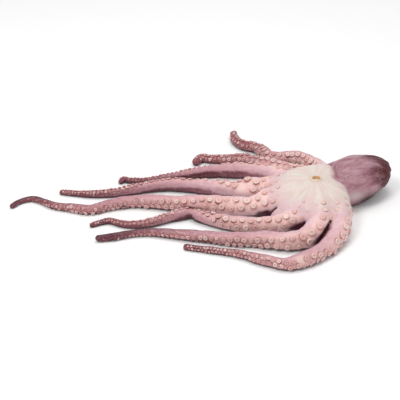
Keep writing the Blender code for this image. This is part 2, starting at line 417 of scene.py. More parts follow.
def egg_field(p, centre, half, turn, power=2.0, tilt=0.0, swell=0.0):
    """Egg about centre, its long axis turned from +X.

    It is the root of the sum of powers of the places over their halves, less one,
    times the half height. tilt lifts the far end and drops the near one by that many millimetres, and
    swell widens the far end and narrows the near one by that share.
    """
    c, s = math.cos(math.radians(turn)), math.sin(math.radians(turn))
    dx, dy, dz = p[..., 0] - centre[0], p[..., 1] - centre[1], p[..., 2] - centre[2]
    x, y = (c * dx + s * dy) / half[0], (c * dy - s * dx) / half[1]
    z = (dz - tilt * x) / half[2]
    width = 1 + swell * np.clip(x, -1, 1)
    q = np.abs(x) ** power + ((y / width) ** 2 + (z / width) ** 2) ** (power / 2)
    return (q ** (1 / power) - 1.0) * half[2]


def lobe_field(p):
    """Blunt egg of the crown's lobe."""
    return egg_field(p, LOBE_CENTRE, LOBE_HALF, 0.0, LOBE_POWER)


def head_field(p):
    """Round egg of the head."""
    return egg_field(p, HEAD_CENTRE, HEAD_HALF, MANTLE_TURN)


def mantle_field(p):
    """Mantle: a blunt egg, cut back to LAP outside the crown's lobe, which laps over it."""
    egg = egg_field(p, MANTLE_CENTRE, MANTLE_HALF, MANTLE_TURN, MANTLE_POWER, MANTLE_TILT, MANTLE_SWELL)
    return -smooth_min(-egg, lobe_field(p) - LAP, LOBE_JOIN)


def crown_field(p):
    """Hill of the crown joined with its lobe, which laps over the neck.

    The hill is the root of the sum of two powers, one of the distance from the
    mouth over the crown's reach that way and one of the height over the crown's,
    less one. Its reach is shorter by a bell towards the head.
    """
    away, bearing = round_mouth(p)
    turn = (np.degrees(bearing) - CROWN_NOTCH_TURN + 180.0) % 360.0 - 180.0
    reach = CROWN_RADIUS - CROWN_NOTCH * bell(turn, CROWN_NOTCH_WIDTH)
    rise = np.maximum(p[..., 2] + HILL_FOOT, 0.0) / CROWN_HEIGHT
    q = (away / reach) ** HILL_POWER + rise ** HILL_RISE_POWER
    return smooth_min((q ** 0.5 - 1.0) * HILL_SCALE, lobe_field(p), LOBE_JOIN)


def round_mouth(p):
    """Distance in plan from the mouth, and the bearing from it in radians."""
    dx, dy = p[..., 0] - MOUTH[0], p[..., 1] - MOUTH[1]
    return np.hypot(dx, dy), np.arctan2(dy, dx)


def cleft_field(p, line):
    """Upright blade along a line in plan: distance from it less its half width, down to its foot."""
    gap = np.full(p.shape[:-1], 5 * REACH)
    for (ax, ay, az, a_half), (bx, by, bz, b_half) in zip(line[:-1], line[1:]):
        dx, dy = bx - ax, by - ay
        t = np.clip(((p[..., 0] - ax) * dx + (p[..., 1] - ay) * dy) / (dx * dx + dy * dy), 0.0, 1.0)
        away = np.hypot(p[..., 0] - ax - t * dx, p[..., 1] - ay - t * dy)
        wide = away - (a_half + t * (b_half - a_half))
        gap = np.minimum(gap, np.maximum(wide, az + t * (bz - az) - p[..., 2]))
    return gap


class Grid:
    """Even grid of points over the octopus, with one value at each."""

    def __init__(self, box, cell):
        self.low = np.array(box[0])
        self.cell = cell
        self.size = np.ceil((np.array(box[1]) - self.low) / cell).astype(int) + 1
        self.value = np.full(self.size, 3 * REACH, np.float32)

    def window(self, low, high):
        """Slices and points of the grid inside a box."""
        a = np.clip(np.floor((low - self.low) / self.cell).astype(int), 0, self.size - 1)
        b = np.clip(np.ceil((high - self.low) / self.cell).astype(int) + 1, 1, self.size)
        at = tuple(slice(m, n) for m, n in zip(a, b))
        axes = [self.low[i] + self.cell * np.arange(a[i], b[i]) for i in range(3)]
        return at, np.stack(np.meshgrid(*axes, indexing="ij"), -1)

    def cut(self, at, field, width):
        """Takes a form out of the value: the greater of the value and less the form's field."""
        self.value[at] = -smooth_min(-self.value[at], field, width)

    def read(self, points):
        """Values between grid points, weighted by nearness along each axis."""
        place = np.clip((points - self.low) / self.cell, 0, self.size - 1.001)
        base = place.astype(int)
        part = place - base
        total = np.zeros(len(points))
        for corner in np.ndindex(2, 2, 2):
            c = np.array(corner)
            weight = np.prod(np.where(c, part, 1 - part), axis=1)
            total += weight * self.value[tuple((base + c).T)]
        return total

    def slope(self, points, step=2.0):
        """Direction in which the value grows fastest, from its differences over two steps."""
        steps = np.eye(3) * step
        return unit(np.stack([self.read(points + d) - self.read(points - d) for d in steps], 1))


def knit(grid):
    """Surface where the grid's value is zero.

    Each cell that the surface crosses gets one vertex, at the mean of the points
    where its edges cross zero, and each crossed grid edge joins the four cells
    round it with one face.
    """
    f = grid.value
    inside = f < 0
    corners = np.array(list(np.ndindex(2, 2, 2)))
    cells = tuple(n - 1 for n in f.shape)
    part = lambda c: tuple(slice(c[i], c[i] + cells[i]) for i in range(3))
    count = sum(inside[part(c)].astype(np.int8) for c in corners)
    active = np.argwhere((count > 0) & (count < 8))
    number = np.full(cells, -1, np.int64)
    number[tuple(active.T)] = np.arange(len(active))
    values = np.stack([f[tuple((active + c).T)] for c in corners], 1).astype(float)
    total = np.zeros((len(active), 3))
    crossed = np.zeros(len(active))
    for a in range(8):
        for axis in range(3):
            if corners[a][axis]:
                continue
            b = a + (4, 2, 1)[axis]
            fa, fb = values[:, a], values[:, b]
            cut = (fa < 0) != (fb < 0)
            t = np.where(cut, fa / np.where(cut, fa - fb, 1.0), 0.0)
            total += cut[:, None] * (corners[a] + t[:, None] * (corners[b] - corners[a]))
            crossed += cut
    verts = grid.low + grid.cell * (active + total / crossed[:, None])
    faces = []
    for axis in range(3):
        u, v = (axis + 1) % 3, (axis + 2) % 3
        here = [slice(1, -1)] * 3
        here[axis] = slice(0, -1)
        there = list(here)
        there[axis] = slice(1, None)
        a, b = inside[tuple(here)], inside[tuple(there)]
        spots = np.argwhere(a != b)
        away = a[tuple(spots.T)]
        start = np.ones(3, int)
        start[axis] = 0
        spots = spots + start
        back_u, back_v = np.eye(3, dtype=int)[u], np.eye(3, dtype=int)[v]
        ring = [spots - back_u - back_v, spots - back_v, spots, spots - back_u]
        quad = np.stack([number[tuple(r.T)] for r in ring], 1)
        quad[~away] = quad[~away][:, ::-1]
        faces.append(quad)
    return verts, np.vstack(faces)


def relax(verts, faces, rounds, amount):
    """Moves each vertex part of the way to the mean of its neighbours, some rounds."""
    ends = np.vstack([faces[:, [i, (i + 1) % 4]] for i in range(4)])
    number = np.bincount(ends.ravel(), minlength=len(verts))[:, None]
    for _ in range(rounds):
        total = np.zeros_like(verts)
        for a, b in ((0, 1), (1, 0)):
            for axis in range(3):
                total[:, axis] += np.bincount(ends[:, a], verts[ends[:, b], axis], len(verts))
        verts = verts + amount * (total / number - verts)
    return verts


def outward(verts, faces):
    """Normals of the vertices of quads, weighted by area."""
    a, b, c, d = (verts[faces[:, i]] for i in range(4))
    across = np.cross(c - a, d - b)
    total = np.zeros_like(verts)
    for i in range(4):
        for axis in range(3):
            total[:, axis] += np.bincount(faces[:, i], across[:, axis], len(verts))
    return unit(total)


def make_arms():
    """Arms as lines with the reach of their skin: the radius, a little uneven, with its swellings.

    The unevenness is a sum of sines with drawn phases, each swelling is a bell,
    and the arm starts at half its reach under the crown.
    """
    rng = np.random.default_rng(8)
    arms = {}
    for name, data in ARMS.items():
        arm = arm_frame(data, ARM_STEP)
        s = arm["s"]
        uneven = sum(
            size * np.sin(math.tau * s / wave + rng.uniform(0, math.tau)) for size, wave in UNEVEN
        )
        swell = sum(share * bell(s - at, wide) for at, share, wide in SWELLS[name])
        arm["skin"] = arm["radius"] * (0.97 + uneven + swell) * (0.5 + 0.5 * smooth(0.0, 45.0, s))
        arms[name] = arm
    return arms


def make_body_grid(arms):
    """Field of the whole animal: crown, head, eyelid, mantle and arms joined with soft creases.

    An arm's field is the least of its stretches'. It is joined wide near the mouth,
    as by a web, and narrow further out. The clefts and what lies below the floor
    are cut off.
    """
    grid = Grid(BODY_BOX, CELL)
    at, p = grid.window(*np.array(HEAD_END_BOX))
    back = smooth_min(mantle_field(p), head_field(p), HEAD_JOIN)
    back = smooth_min(back, egg_field(p, EYE_CENTRE, (EYE_RADIUS,) * 3, 0.0), EYELID_JOIN)
    grid.value[at] = smooth_min(crown_field(p), back, BACK_JOIN)
    away = np.full(grid.size, np.inf, np.float32)
    away[at] = round_mouth(p)[0]
    join = (ARM_JOIN + WEB_JOIN * (1.0 - smooth(*WEB_REACH, away))).astype(np.float32)
    for arm in arms.values():
        field = np.full(grid.size, 3 * REACH, np.float32)
        for i in range(len(arm["line"]) - 1):
            ends = arm["line"][i:i + 2]
            room = arm["skin"][i] + REACH
            at, p = grid.window(ends.min(0) - room, ends.max(0) + room)
            field[at] = np.minimum(field[at], arm_distance(arm, i, p))
        grid.value = smooth_min(grid.value, field, join)
    floor, top = BODY_BOX[0][2], BODY_BOX[1][2]
    for line in CLEFTS:
        spots = np.array(line, float)[:, :2]
        at, p = grid.window(np.array([*(spots.min(0) - 14), floor]), np.array([*(spots.max(0) + 14), top]))
        grid.cut(at, cleft_field(p, line), CLEFT_JOIN)
    high = grid.low[2] + grid.cell * np.arange(grid.size[2])
    grid.value = np.maximum(grid.value, -high.astype(np.float32))
    return grid


def skin_height(grid, spot):
    """Height of the topmost skin over a spot in plan, found from above in steps of a quarter."""
    z = np.arange(88.0, 4.0, -0.25)
    value = grid.read(np.stack([np.full(len(z), spot[0]), np.full(len(z), spot[1]), z], 1))
    return float(z[np.argmax(value < 0)])


def open_mouth(grid):
    """Cuts the mouth's pit, a ball flattened in height, and returns the height of the crown before it."""
    top = skin_height(grid, MOUTH)
    at, p = grid.window(*np.array(PIT_BOX))
    away = np.hypot(round_mouth(p)[0], (p[..., 2] - top) * PIT_FLATNESS)
    grid.cut(at, away - PIT_RADIUS, PIT_JOIN)
    return top


# ---------------------------------------------------------------- suckers' seats

def seat_suckers(arm, grid, rng):
    """Seats of the suckers of an arm, in two rows that take turns on its oral side.

    The distance to the next sucker is a little under half the arm's radius, so
    they crowd together as the arm thins. Each seat is where a line from the
    middle of the arm comes out through the skin. A sucker is left out where it
    would lie in other skin, in the floor, on the mantle or in a pale place.
    """
    far = arm["s"][-1]
    stops = [SUCKERS_START]
    while stops[-1] < far - 2.0:
        grown = 0.6 + 0.4 * float(smooth(SUCKERS_START, GAPS_GROWN, stops[-1]))
        gap = 0.2 + SUCKER_GAP * np.interp(stops[-1], arm["s"], arm["radius"]) * grown
        stops.append(stops[-1] + gap * rng.uniform(*GAP_DRAW))
    s = np.array(stops[:-1])
    pick = lambda values: np.stack([np.interp(s, arm["s"], values[:, i]) for i in range(3)], 1)
    r = np.interp(s, arm["s"], arm["radius"])
    size = SUCKER_SIZE * r * (0.5 + 0.5 * smooth(SUCKERS_START, SIZES_GROWN, s))
    size = size * rng.uniform(*SIZE_DRAW, len(s))
    rows = np.arange(len(s))
    row = np.where(rows % 2 == 0, 1.0, -1.0)
    lean = np.radians(ROW_LEAN * row + rng.normal(0.0, LEAN_ERROR, len(s)))[:, None]
    out = unit(np.cos(lean) * unit(pick(arm["oral"])) + np.sin(lean) * unit(pick(arm["side"])))
    middle = pick(arm["line"])

    steps = np.linspace(0.2, 1.9, 60)
    value = np.stack([grid.read(middle + out * (r * t)[:, None]) for t in steps], 1)
    first = np.argmax(value > 0, axis=1)
    before = np.maximum(first - 1, 0)
    a, b = value[rows, before], value[rows, first]
    t = steps[before] + (steps[1] - steps[0]) * a / np.where(a != b, a - b, 1.0)
    seat = middle + out * (r * t)[:, None]
    normal = grid.slope(seat, 3.0)
    aim = unit(normal + 0.30 * out + rng.normal(0.0, 0.15, (len(s), 3)))

    keep = (first > 0) & (t < 1.75) & (mantle_field(seat) > 5.0)
    keep &= grid.read(seat + normal * (size * 0.9)[:, None]) > 0.45 * size
    keep &= seat[:, 2] + normal[:, 2] * size > 0.9
    for x, y, z, radius in PALE_SPOTS:
        keep &= np.linalg.norm(seat - np.array([x, y, z]), axis=1) > 0.8 * radius
    return {
        "seat": seat[keep], "aim": aim[keep], "size": size[keep], "s": s[keep],
        "share": (s / far)[keep], "tone": rng.uniform(0.0, 1.0, keep.sum()),
    }


def near_seats(points, seats, sizes):
    """Rust with its painted shade, and mound, of the nearest sucker at each point.

    The rust is 1 under the sucker and falls smoothly to 0 at 1.8 of its radius,
    more below it than above, as painted shade beneath it, and the mound is a bell as high as its radius.
    """
    rust_and_shade = np.zeros(len(points))
    mound = np.zeros(len(points))
    for start in range(0, len(points), BATCH):
        part = slice(start, start + BATCH)
        gap = np.sqrt(((points[part, None] - seats[None]) ** 2).sum(-1)) / sizes[None]
        i = np.argmin(gap, axis=1)
        g = gap[np.arange(len(i)), i]
        lower = (seats[i, 2] - points[part, 2]) / sizes[i]
        rust_and_shade[part] = (1.0 - smooth(1.0, 1.8, g)) * np.clip(0.75 + 0.45 * lower, 0.35, 1.2)
        mound[part] = sizes[i] * bell(g, 1.15)
    return rust_and_shade, mound


def nearest_arm(arms, points):
    """Nearest arm of each point: its number, the distance along it, its length, the turn and the reach.

    It is the arm with the least distance to a point of its line, less its reach
    there. The turn is the angle about the arm from its oral side.
    """
    join = lambda key: np.concatenate([arm[key] for arm in arms.values()])
    line, reach = join("line"), join("skin")
    number = np.concatenate([np.full(len(arm["s"]), i) for i, arm in enumerate(arms.values())])
    best = np.empty(len(points), int)
    for start in range(0, len(points), BATCH):
        part = slice(start, start + BATCH)
        gap = ((points[part, None] - line[None]) ** 2).sum(-1)
        best[part] = np.argmin(np.sqrt(gap) - reach[None], axis=1)
    out = points - line[best]
    along = (out * join("ahead")[best]).sum(1)
    turn = np.arctan2((out * join("side")[best]).sum(1), (out * join("oral")[best]).sum(1))
    far = np.array([arm["s"][-1] for arm in arms.values()])[number[best]]
    return number[best], np.clip(join("s")[best] + along, 0.0, far), far, turn, reach[best]


# ---------------------------------------------------------------- meshes

def new_mesh(name, verts, faces):
    """Mesh object from vertices in millimetres and an array of equal faces, shaded smooth."""
    mesh = bpy.data.meshes.new(name)
    faces = np.asarray(faces, np.int32)
    sides = faces.shape[1]
    mesh.vertices.add(len(verts))
    mesh.vertices.foreach_set("co", (np.asarray(verts) * MM).astype(np.float32).ravel())
    mesh.loops.add(faces.size)
    mesh.loops.foreach_set("vertex_index", faces.ravel())
    mesh.polygons.add(len(faces))
    mesh.polygons.foreach_set("loop_start", np.arange(0, faces.size, sides, dtype=np.int32))
    mesh.update(calc_edges=True)
    mesh.shade_smooth()
    piece = bpy.data.objects.new(name, mesh)
    bpy.context.collection.objects.link(piece)
    return piece


def mark(piece, **values):
    """Writes arrays of one number per vertex as attributes of the same name."""
    for name, array in values.items():
        layer = piece.data.attributes.new(name, "FLOAT", "POINT")
        layer.data.foreach_set("value", np.asarray(array, np.float32))


def belongs(piece, material):
    """Gives a piece its material and makes it one with the octopus of the frame."""
    piece.data.materials.append(material)
    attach(piece, "root")


def ring_faces(count, sides):
    """Triangles that join count rings of vertices and close them on two more, the foot and the top."""
    j = np.arange(sides)
    k = (j + 1) % sides
    last = (count - 1) * sides
    quads = np.vstack([
        np.stack([i * sides + j, i * sides + k, (i + 1) * sides + k, (i + 1) * sides + j], 1)
        for i in range(count - 1)
    ])
    return np.vstack([
        quads[:, [0, 1, 2]], quads[:, [0, 2, 3]],
        np.stack([k, j, np.full(sides, count * sides)], 1),
        np.stack([last + j, last + k, np.full(sides, count * sides + 1)], 1),
    ])


def carried(centre, first, second, aim, x, y, z):
    """Points of a piece's own frame in their place: centre plus x first, y second and z aim."""
    return centre + x[..., None] * first + y[..., None] * second + z[..., None] * aim


def turned(centre, aim, profile, sides, pleat=0.0, folds=0):
    """Closed surface of revolution of a profile of radii and heights about aim.

    The radius swells and shrinks folds times round the axis, as a cosine of pleat
    times itself. Returns the vertices, the faces and each vertex's place on the
    profile, from 0 at its foot to 1 at its top.
    """
    centre, aim = np.array(centre, float), unit(np.array(aim, float))
    first = unit(np.cross(aim, (0.3, 1.0, 0.2)))
    second = np.cross(aim, first)
    around = np.arange(sides) * math.tau / sides
    radius, height = (part[:, None] for part in np.array(profile, float).T)
    radius = radius * (1 + pleat * np.cos(folds * around))
    height = np.broadcast_to(height, radius.shape)
    rings = carried(centre, first, second, aim, radius * np.cos(around), radius * np.sin(around), height)
    ends = centre + height[[0, -1], :1] * aim
    share = np.concatenate([np.repeat(np.linspace(0, 1, len(profile)), sides), [0.0, 1.0]])
    return np.vstack([rings.reshape(-1, 3), ends]), ring_faces(len(profile), sides), share


# ---------------------------------------------------------------- finishes

def tint(red, green, blue):
    """Linear colour from levels of 0 to 255, by the display's own power curve and its straight foot."""
    level = np.array([red, green, blue]) / 255.0
    linear = np.where(level <= 0.04045, level / 12.92, ((level + 0.055) / 1.055) ** 2.4)
    return (*linear.tolist(), 1.0)


class Nodes:
    """Short hand for building a material's nodes. Each method returns the socket of its result."""

    def __init__(self, name):
        self.material = bpy.data.materials.new(name)
        self.material.use_nodes = True
        self.tree = self.material.node_tree
        self.shader = self.tree.nodes["Principled BSDF"]

    def add(self, kind, **settings):
        """New node with its settings."""
        node = self.tree.nodes.new(kind)
        for key, value in settings.items():
            setattr(node, key, value)
        return node

    def put(self, socket, value):
        """Links a socket to another, or sets it to a value."""
        if isinstance(value, bpy.types.NodeSocket):
            self.tree.links.new(value, socket)
        else:
            socket.default_value = value

    def set(self, **values):
        """Puts values on the shader's sockets, whose names have _ for each space."""
        for name, value in values.items():
            self.put(self.shader.inputs[name.replace("_", " ")], value)

    def read(self, name):
        """Attribute of the mesh's vertices."""
        return self.add("ShaderNodeAttribute", attribute_name=name).outputs["Fac"]

    def place(self):
        """Place on the object, in metres."""
        return self.add("ShaderNodeTexCoord").outputs["Object"]

    def mapped(self, turn=(0.0, 0.0, 0.0), scale=(1.0, 1.0, 1.0), centre=(0.0, 0.0, 0.0)):
        """Place taken from centre, turned back by turn and divided by scale."""
        node = self.add("ShaderNodeMapping", vector_type="TEXTURE")
        self.put(node.inputs["Vector"], self.place())
        self.put(node.inputs["Location"], centre)
        self.put(node.inputs["Rotation"], turn)
        self.put(node.inputs["Scale"], scale)
        return node.outputs["Vector"]

    def noise(self, size, detail=3.0, rough=0.55, twist=0.0, where=None):
        """Noise whose blotches are about size millimetres across."""
        node = self.add("ShaderNodeTexNoise")
        for key, value in (("Vector", where or self.place()), ("Scale", 1.0 / (size * MM)),
                           ("Detail", detail), ("Roughness", rough), ("Distortion", twist)):
            self.put(node.inputs[key], value)
        return node.outputs["Fac"]

    def cells(self, size, feature="F1"):
        """Distance to the nearest of points scattered size millimetres apart, or to the edges between."""
        node = self.add("ShaderNodeTexVoronoi", feature=feature)
        self.put(node.inputs["Vector"], self.place())
        self.put(node.inputs["Scale"], 1.0 / (size * MM))
        return node.outputs["Distance"]

    def span(self, value, low, high, out_low=0.0, out_high=1.0):
        """Value carried by a smoothstep from low..high to out_low..out_high."""
        node = self.add("ShaderNodeMapRange", interpolation_type="SMOOTHSTEP")
        for key, number in (("Value", value), ("From Min", low), ("From Max", high),
                            ("To Min", out_low), ("To Max", out_high)):
            self.put(node.inputs[key], number)
        return node.outputs["Result"]

    def reckon(self, how, a, b):
        """Sum, difference, product or greater of two values."""
        node = self.add("ShaderNodeMath", operation=how)
        self.put(node.inputs[0], a)
        self.put(node.inputs[1], b)
        return node.outputs[0]

    def times(self, a, b):
        """Product of two values."""
        return self.reckon("MULTIPLY", a, b)

    def sway(self, value, noise, spread):
        """Value plus spread times what a noise is over its middle of a half."""
        return self.reckon("ADD", value, self.times(self.reckon("SUBTRACT", noise, 0.5), spread))

    def mix(self, share, a, b):
        """Colour that goes straight from a to b as share goes from 0 to 1."""
        node = self.add("ShaderNodeMix", data_type="RGBA")
        self.put(node.inputs["Factor"], share)
        self.put(node.inputs["A"], a)
        self.put(node.inputs["B"], b)
        return node.outputs["Result"]

    def bump(self, height, depth, strength=1.0, under=None):
        """Fine relief, depth millimetres from its lowest to its highest."""
        node = self.add("ShaderNodeBump")
        self.put(node.inputs["Distance"], depth * MM)
        self.put(node.inputs["Strength"], strength)
        self.put(node.inputs["Height"], height)
        if under is not None:
            self.put(node.inputs["Normal"], under)
        return node.outputs["Normal"]

    def moist(self, roughness):
        """Makes the shader moist flesh."""
        self.set(Roughness=roughness, **MOIST)


def arm_colours(n, large, middle):
    """Arms from pale pink to wine along their length, paler on the sucker side and wine on the back,
    deepened by painted shade where the back faces down.
    """
    share, oral, sucker = n.read("share"), n.read("oral"), n.read("sucker")
    along = n.sway(share, middle, 0.30)

    def by_length(near, mid, far):
        """Colour at the root, the middle and the tip of the arms."""
        return n.mix(n.span(along, 0.42, 0.95), n.mix(n.span(along, 0.08, 0.50), near, mid), far)

    flank = by_length(tint(230, 197, 202), tint(192, 142, 151), tint(112, 47, 62))
    front = by_length(tint(243, 208, 206), tint(216, 163, 166), tint(134, 63, 72))
    # The back's wine is partly the skin's own darker colour and partly painted shade where it faces the
    # floor.
    back = by_length(tint(182, 124, 136), tint(88, 14, 30), tint(72, 16, 34))
    colour = n.mix(n.span(oral, 0.25, 0.85), flank, front)
    colour = n.mix(n.span(n.sway(oral, large, 0.7), -0.26, -0.66), colour, back)
    # Peach mottling of the sucker side near the crown.
    peach = n.times(n.span(n.noise(6.5, 3.0, 0.6), 0.50, 0.66, 0.0, 0.55), n.span(oral, 0.0, 0.6))
    colour = n.mix(n.times(peach, n.span(share, 0.45, 0.25)), colour, tint(230, 177, 162))
    # Rust round the suckers: partly the skin's own colour, partly painted shade, which is stronger beneath
    # each sucker.
    rust = n.mix(n.span(share, 0.10, 0.65), tint(213, 151, 134), tint(126, 54, 54))
    colour = n.mix(n.times(sucker, n.span(middle, 0.2, 0.6, 0.38, 0.74)), colour, rust)
    # Pale spots further out: partly the skin's own mottling, partly painted glints.
    pale_mottle_and_glint = n.times(n.span(n.cells(5.0), 0.16, 0.44, 1.0, 0.0), n.span(share, 0.30, 0.65, 0.0, 0.5))
    colour = n.mix(n.times(pale_mottle_and_glint, n.span(oral, -0.6, 0.1)), colour, tint(218, 178, 176))
    # Wine tips and pale swellings.
    tips = n.times(n.read("tip_shade"), n.span(middle, 0.3, 0.6, 0.9, 0.5))
    colour = n.mix(tips, colour, tint(76, 14, 36))
    return n.mix(n.span(n.read("pale"), 0.2, 0.9, 0.0, 0.65), colour, tint(236, 208, 198))


def crown_colours(n, colour, large):
    """Crown: ivory with tan and pink rays from the mouth, through a lilac web, over the arms' colour."""
    join = n.add("ShaderNodeCombineXYZ")
    n.put(join.inputs[0], n.read("ray_x"))
    n.put(join.inputs[1], n.read("ray_y"))
    n.put(join.inputs[2], n.times(n.read("away"), 0.45))
    ray = n.noise(1.0 / (RAY_SCALE * MM), 3.0, 0.6, 0.2, where=join.outputs[0])
    ivory = n.mix(n.span(ray, 0.35, 0.65), tint(221, 211, 201), tint(219, 198, 190))
    ivory = n.mix(n.span(ray, 0.62, 0.78, 0.0, 0.5), ivory, tint(226, 200, 170))
    edge = n.sway(n.read("crown"), large, 0.5)
    web = n.mix(n.span(edge, 0.02, 0.45), colour, tint(217, 180, 187))
    # Salmon round the crown's suckers, from the rust mask, with its painted shade beneath them.
    web = n.mix(n.times(n.read("sucker"), 0.35), web, tint(230, 184, 172))
    colour = n.mix(n.span(edge, 0.02, 0.30), colour, web)
    return n.mix(n.span(edge, 0.20, 0.95, 0.0, 0.97), colour, ivory)


def mantle_colours(n):
    """Mantle: streaks and blotches of lilac brown along it, wine at its far end, and painted shade, near
    black, low down by the floor.

    Also returns how dull it is, which is the greater of the wine end and the painted shade below.
    """
    lengthwise = n.mapped(
        (0.0, 0.0, math.radians(MANTLE_TURN)), (3.2, 1.0, 1.0), tuple(MM * v for v in MANTLE_CENTRE)
    )
    streak = n.noise(10.0, 4.0, 0.6, 0.8, where=lengthwise)
    blotch = n.noise(34.0, 3.0, 0.6, 0.5, where=lengthwise)
    end = n.sway(n.read("sac_end"), blotch, 1.6)
    low = n.read("sac_low")
    sac = n.mix(n.span(streak, 0.34, 0.70), tint(174, 130, 141), tint(142, 90, 104))
    sac = n.mix(n.span(blotch, 0.5, 0.68, 0.0, 0.7), sac, tint(134, 76, 94))
    sac = n.mix(n.span(end, 0.10, 0.66, 0.0, 0.98), sac, tint(74, 2, 20))
    # Painted shade on the mantle's underside, near the floor.
    sac = n.mix(low, sac, tint(34, 12, 18))
    # Painted highlight at the near side, and freckles.
    film = n.times(n.read("film"), n.span(streak, 0.25, 0.6, 0.5, 0.9))
    sac = n.mix(film, sac, tint(206, 188, 188))
    freckle = n.times(n.span(n.cells(3.2), 0.10, 0.32, 0.55, 0.0), n.span(blotch, 0.35, 0.6))
    return n.mix(freckle, sac, tint(92, 38, 62)), n.reckon("MAXIMUM", n.span(end, 0.10, 0.66), low)


def skin_finish():
    """Skin of arms, crown and mantle, with dark dots on the bare side, painted shade in the folds, creases
    and where skin faces the floor, and a painted highlight on the mantle.
    """
    n = Nodes("octopus_skin_moist")
    large, middle, fine = n.noise(26.0, 3.0, 0.55, 0.6), n.noise(9.0, 4.0, 0.6, 0.4), n.noise(2.6, 3.0, 0.6)
    mantle = n.read("mantle")
    sac, dull = mantle_colours(n)
    colour = crown_colours(n, arm_colours(n, large, middle), large)
    colour = n.mix(mantle, colour, sac)
    dots = n.times(n.span(n.cells(1.9), 0.12, 0.34, 1.0, 0.0), n.span(middle, 0.42, 0.62, 0.0, 0.5))
    bare = n.times(n.span(n.read("oral"), 0.1, -0.5), n.reckon("SUBTRACT", 1.0, n.read("crown")))
    colour = n.mix(n.times(dots, bare), colour, tint(112, 58, 74))
    colour = n.mix(n.span(fine, 0.35, 0.7, 0.0, 0.10), colour, tint(246, 224, 220))
    # Painted shade: wine dark in folds, creases, clefts and where the skin faces the floor.
    colour = n.mix(n.span(n.read("crease"), 0.42, 0.90, 0.0, 0.97), colour, tint(70, 14, 32))

    relief = n.bump(middle, 0.9, 0.6, n.bump(fine, 0.35, 0.5))
    wrinkles = n.span(n.cells(3.6, "DISTANCE_TO_EDGE"), 0.0, 0.35)
    n.moist(n.span(fine, 0.3, 0.7, 0.30, 0.46))
    n.set(Base_Color=colour, Normal=n.bump(wrinkles, 0.25, 0.5, relief))
    dull = n.times(mantle, dull)
    n.set(Specular_IOR_Level=n.span(dull, 0.0, 1.0, MOIST["Specular IOR Level"], 0.05))
    n.set(Coat_Weight=n.span(dull, 0.0, 1.0, MOIST["Coat Weight"], 0.02))
    return n.material


def sucker_finish():
    """Cream rim, peach cup and rust foot; browner towards the tips, paler in the crown, and painted shade
    where a sucker is shut in.
    """
    n = Nodes("sucker_flesh")
    ring, tone, share, mottle = n.read("ring"), n.read("tone"), n.read("share"), n.noise(2.2, 3.0, 0.6)
    rim = n.mix(tone, tint(244, 222, 216), tint(230, 192, 186))
    far_rim = n.mix(n.span(tone, 0.25, 0.6), tint(230, 194, 191), tint(190, 134, 136))
    rim = n.mix(n.span(share, 0.22, 0.85, 0.0, 0.85), rim, far_rim)
    foot = n.mix(tone, tint(226, 178, 166), tint(215, 158, 146))
    foot = n.mix(n.span(share, 0.12, 0.6), foot, tint(134, 64, 64))
    cup = n.mix(tone, tint(224, 184, 176), tint(204, 150, 146))
    cup = n.mix(n.span(share, 0.2, 0.8), cup, tint(146, 84, 88))
    in_crown = n.mix(tone, tint(232, 204, 196), tint(228, 186, 176))
    colour = n.mix(n.span(ring, 0.18, 0.50), foot, rim)
    colour = n.mix(n.span(ring, 0.72, 0.98, 0.0, 0.85), colour, cup)
    colour = n.mix(n.times(n.read("crown"), 0.8), colour, in_crown)
    colour = n.mix(n.span(mottle, 0.35, 0.7, 0.0, 0.25), colour, tint(214, 156, 150))
    # Painted shade where a sucker is shut in by other skin or the floor.
    colour = n.mix(n.span(n.read("crease"), 0.55, 1.0, 0.0, 0.7), colour, tint(96, 36, 44))
    n.set(Base_Color=colour, Normal=n.bump(mottle, 0.25, 0.6))
    n.moist(n.span(mottle, 0.3, 0.7, 0.26, 0.40))
    return n.material


def lip_finish():
    """Ivory lips round a tan mouth that is pale lilac inside."""
    n = Nodes("lip_flesh")
    inner = n.read("ring")
    colour = n.mix(n.span(inner, 0.36, 0.56), tint(224, 210, 192), tint(196, 150, 96))
    colour = n.mix(n.span(inner, 0.76, 0.92), colour, tint(220, 196, 192))
    colour = n.mix(n.span(n.noise(1.5), 0.4, 0.7, 0.0, 0.3), colour, tint(212, 184, 146))
    n.set(Base_Color=colour, Normal=n.bump(n.noise(1.2), 0.3, 0.6))
    n.moist(0.34)
    return n.material


def beak_finish():
    """Brown horn, banded across its height."""
    n = Nodes("beak_horn")
    bands = n.noise(1.4, where=n.mapped(scale=(1.0, 1.0, 0.3)))
    n.set(Base_Color=n.mix(bands, tint(150, 104, 58), tint(84, 50, 28)))
    n.set(Normal=n.bump(n.noise(1.0), 0.15, 0.5), Roughness=0.3)
    return n.material


def eye_finish():
    """Dull silver iris with a level black slit for a pupil."""
    n = Nodes("eye_lens")
    iris = n.mix(n.noise(1.2), tint(158, 142, 122), tint(96, 74, 66))
    n.set(Base_Color=n.mix(n.span(n.read("slit"), 0.45, 0.6), iris, tint(14, 10, 12)))
    n.set(Normal=n.bump(n.noise(1.6), 0.1, 0.3), Roughness=0.12, Coat_Weight=1.0, Coat_Roughness=0.05)
    return n.material


def floor_finish():
    """Plain pale floor."""
    n = Nodes("pale_floor")
    n.set(Base_Color=(0.98, 0.98, 0.98, 1.0), Roughness=0.9, Specular_IOR_Level=0.1)
    return n.material


# ---------------------------------------------------------------- pieces

def shade_from_enclosure(grid, points, normal):
    """Painted shade of each point, from how shut in it is: the share of a reach that its normal lacks
    before other skin or the floor.

    It is the weighted sum over the lengths of FEELERS.
    """
    shade = np.zeros(len(points))
    for reach, weight in FEELERS:
        probe = points + normal * reach
        room = np.minimum(grid.read(probe), probe[:, 2])
        shade += weight * np.clip(1.0 - room / reach, 0.0, 1.0)
    return shade


